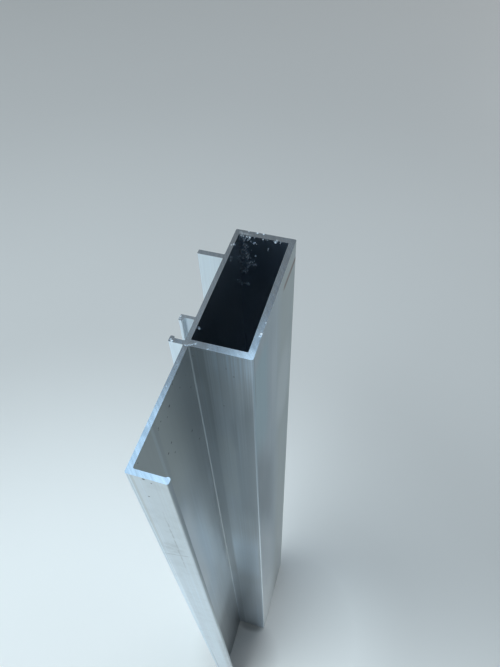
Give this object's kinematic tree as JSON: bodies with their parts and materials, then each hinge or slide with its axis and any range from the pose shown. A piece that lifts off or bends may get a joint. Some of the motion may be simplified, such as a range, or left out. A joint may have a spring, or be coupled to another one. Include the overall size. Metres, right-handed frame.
{
  "type": "aluminium extrusion profile",
  "caption": "Short length of aluminium frame extrusion: rectangular hollow chamber, flat web with a beaded lip, hooked strip groove and a plain stop fin.",
  "frame": {"origin": "middle of the section's outline box, on the lower sawn end that the profile stands on", "axes": "+Z along the profile's length, from the standing end to the upper sawn end; +Y from the beaded lip towards the hollow chamber; +X from the finned side towards the chamber's plain side"},
  "size_m": [0.0286, 0.0874, 0.343],
  "materials": {
    "mill_aluminium": "bare mill finish with fine lengthwise die lines; sawn ends with slanting blade marks and a few burrs"
  },
  "bodies": {
    "root": {"frame_profile": "mill_aluminium"}
  },
  "joints": []
}
